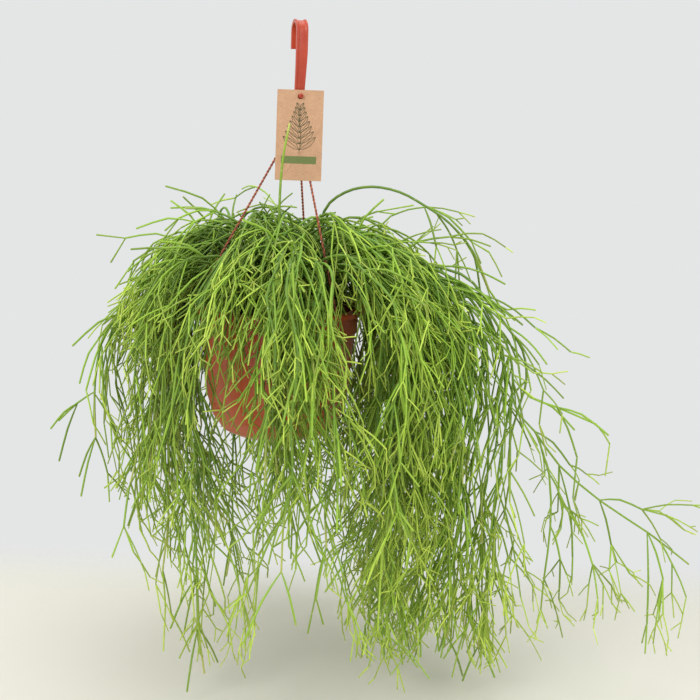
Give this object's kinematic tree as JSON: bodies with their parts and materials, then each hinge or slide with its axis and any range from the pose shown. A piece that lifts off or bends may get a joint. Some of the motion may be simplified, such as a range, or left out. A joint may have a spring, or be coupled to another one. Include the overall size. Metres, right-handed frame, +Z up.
{
  "type": "hanging mistletoe cactus in a pot",
  "caption": "Trailing mistletoe cactus with thin forked stems, in a round plastic hanging pot on three strings with a strap hook and a plain card tag.",
  "frame": {"origin": "inside top of the hook, where it hangs on its rod or rail", "axes": "+Z up along the plumb line, +X to the right as pictured, +Y to the back"},
  "size_m": [0.7221, 0.4724, 0.7235],
  "materials": {
    "pot": "glossy injection-moulded, terracotta-coloured",
    "soil": "rough peat potting soil",
    "hook": "semi-gloss moulded red-orange plastic",
    "string": "twisted two-ply twine, terracotta and dark brown",
    "tag": "matt kraft card",
    "stem": "smooth waxy succulent stems, dark green to yellow-green"
  },
  "bodies": {
    "root": {"pot": "pot", "potting_soil": "soil", "hook": "hook", "string_left": "string", "string_front": "string", "string_back": "string", "tag": "tag", "spray_01": "stem", "spray_02": "stem", "spray_03": "stem", "spray_04": "stem", "spray_05": "stem", "spray_06": "stem", "spray_07": "stem", "spray_08": "stem", "spray_09": "stem", "spray_10": "stem", "spray_11": "stem", "spray_12": "stem", "spray_13": "stem", "spray_14": "stem", "spray_15": "stem", "spray_16": "stem", "spray_17": "stem", "spray_18": "stem", "spray_19": "stem", "spray_20": "stem", "spray_21": "stem", "spray_22": "stem", "spray_23": "stem", "spray_24": "stem", "spray_25": "stem", "spray_26": "stem", "spray_27": "stem", "spray_28": "stem", "spray_29": "stem", "spray_30": "stem", "spray_31": "stem", "spray_32": "stem", "spray_33": "stem", "spray_34": "stem", "spray_35": "stem"}
  },
  "joints": []
}
